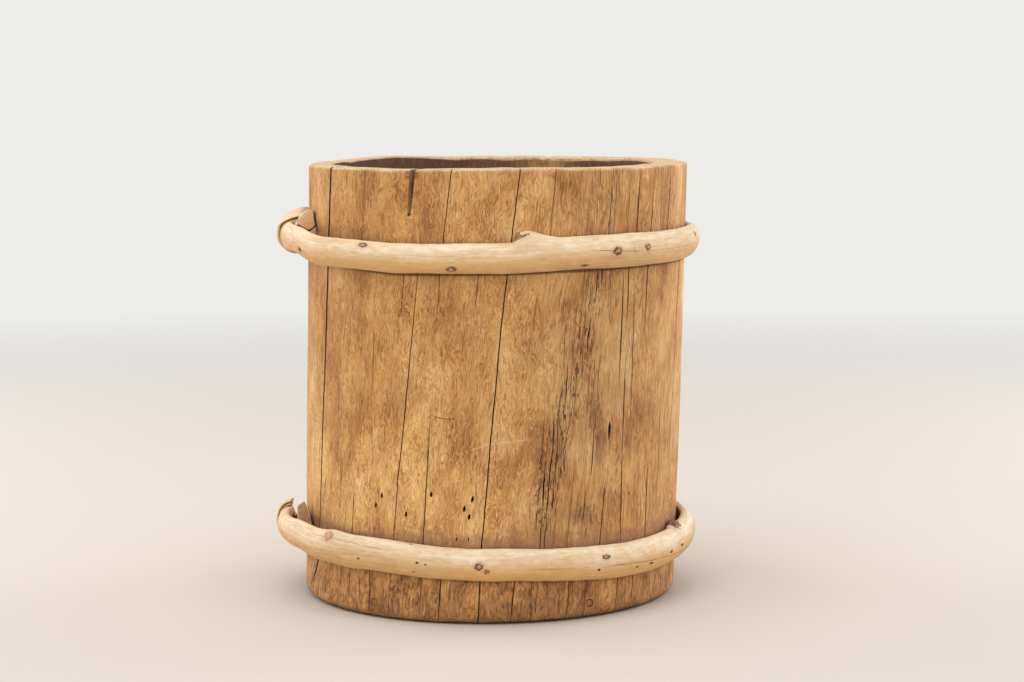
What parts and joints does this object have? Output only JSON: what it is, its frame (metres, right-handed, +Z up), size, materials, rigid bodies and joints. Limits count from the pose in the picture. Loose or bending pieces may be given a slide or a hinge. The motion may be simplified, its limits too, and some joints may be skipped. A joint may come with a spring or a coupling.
{
  "type": "wooden rice container",
  "caption": "Tall open container hollowed from one trunk, with a pegged plank bottom and two bent-branch hoops whose lapped ends are lashed at the left.",
  "frame": {"origin": "centre of the foot, on the middle bottom plank's underside, on the floor", "axes": "+Z up along the container, -Y towards the front that shows the rim slot, +X to the front's right"},
  "size_m": [0.3819, 0.3593, 0.381],
  "materials": {
    "trunk": "bare weathered wood with spiral grain, drying splits and stains",
    "hoop": "peeled branch, smooth and dry",
    "strip": "split withe, smooth on its outer face",
    "wedge": "raw split wood",
    "plank": "darkened bare board",
    "pin": "split bamboo",
    "peg": "whittled end grain, dark"
  },
  "bodies": {
    "root": {"trunk_wall": "trunk", "upper_hoop": "hoop", "lower_hoop": "hoop", "upper_hoop_lashing": "strip", "lower_hoop_lashing": "strip", "upper_hoop_wedge": "wedge", "lower_hoop_wedge": "wedge", "bottom_plank_1": "plank", "bottom_plank_2": "plank", "bottom_plank_3": "plank", "bottom_pin_1": "pin", "bottom_pin_2": "pin", "bottom_pin_3": "pin", "bottom_pin_4": "pin", "bottom_peg_1": "peg", "bottom_peg_2": "peg", "bottom_peg_3": "peg", "bottom_peg_4": "peg", "bottom_peg_5": "peg", "bottom_peg_6": "peg"}
  },
  "joints": []
}
